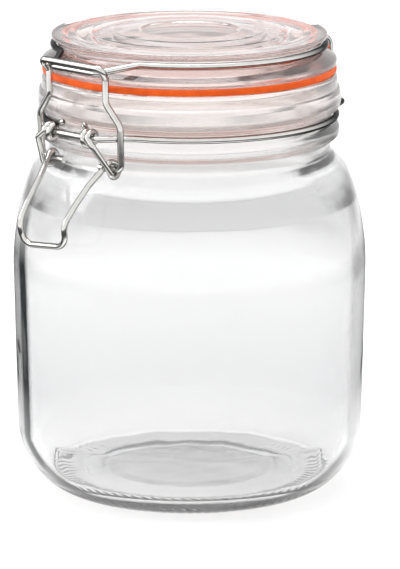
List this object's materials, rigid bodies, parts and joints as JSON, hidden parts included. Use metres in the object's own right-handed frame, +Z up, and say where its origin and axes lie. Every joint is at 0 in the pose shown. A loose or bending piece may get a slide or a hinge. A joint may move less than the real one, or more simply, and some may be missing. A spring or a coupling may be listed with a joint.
{
  "type": "clip-top canning jar",
  "caption": "Round clear glass canning jar with a hinged glass lid, an orange rubber ring and a wire clip closure, shut and empty.",
  "frame": {"origin": "middle of the whole outline, handle included, on the surface the jar stands on; the jar's own axis is at y = 0.0047", "axes": "+Z up, -Y towards the latch, +Y towards the hinge, +X to the right when facing the latch"},
  "size_m": [0.1144, 0.1239, 0.1508],
  "materials": {
    "clear_glass": "clear and polished",
    "orange_rubber": "smooth matt",
    "bright_steel": "bright drawn wire"
  },
  "bodies": {
    "jar": {"jar_glass": "clear_glass", "neck_wire": "bright_steel"},
    "lid": {"lid_glass": "clear_glass", "gasket": "orange_rubber", "lid_wire": "bright_steel"},
    "lever": {"lever": "bright_steel"},
    "link": {"link": "bright_steel"}
  },
  "joints": [
    {"name": "lid_hinge", "type": "hinge", "parent": "jar", "child": "lid", "pos_m": [0, 0.0549, 0.1234], "axis": [-1, 0, 0], "range_deg": [0, 105]},
    {"name": "lever_swing", "type": "hinge", "parent": "jar", "child": "lever", "pos_m": [0, -0.0483, 0.1234], "axis": [-1, 0, 0], "range_deg": [0, 94.6]},
    {"name": "link_swing", "type": "hinge", "parent": "lever", "child": "link", "pos_m": [0, -0.0436, 0.1135], "axis": [1, 0, 0], "range_deg": [0, 252.2]}
  ],
  "couplings": [
    {"joint": "lever_swing", "follows": "lid_hinge", "ratio": 0.9},
    {"joint": "link_swing", "follows": "lid_hinge", "ratio": 2.4}
  ]
}
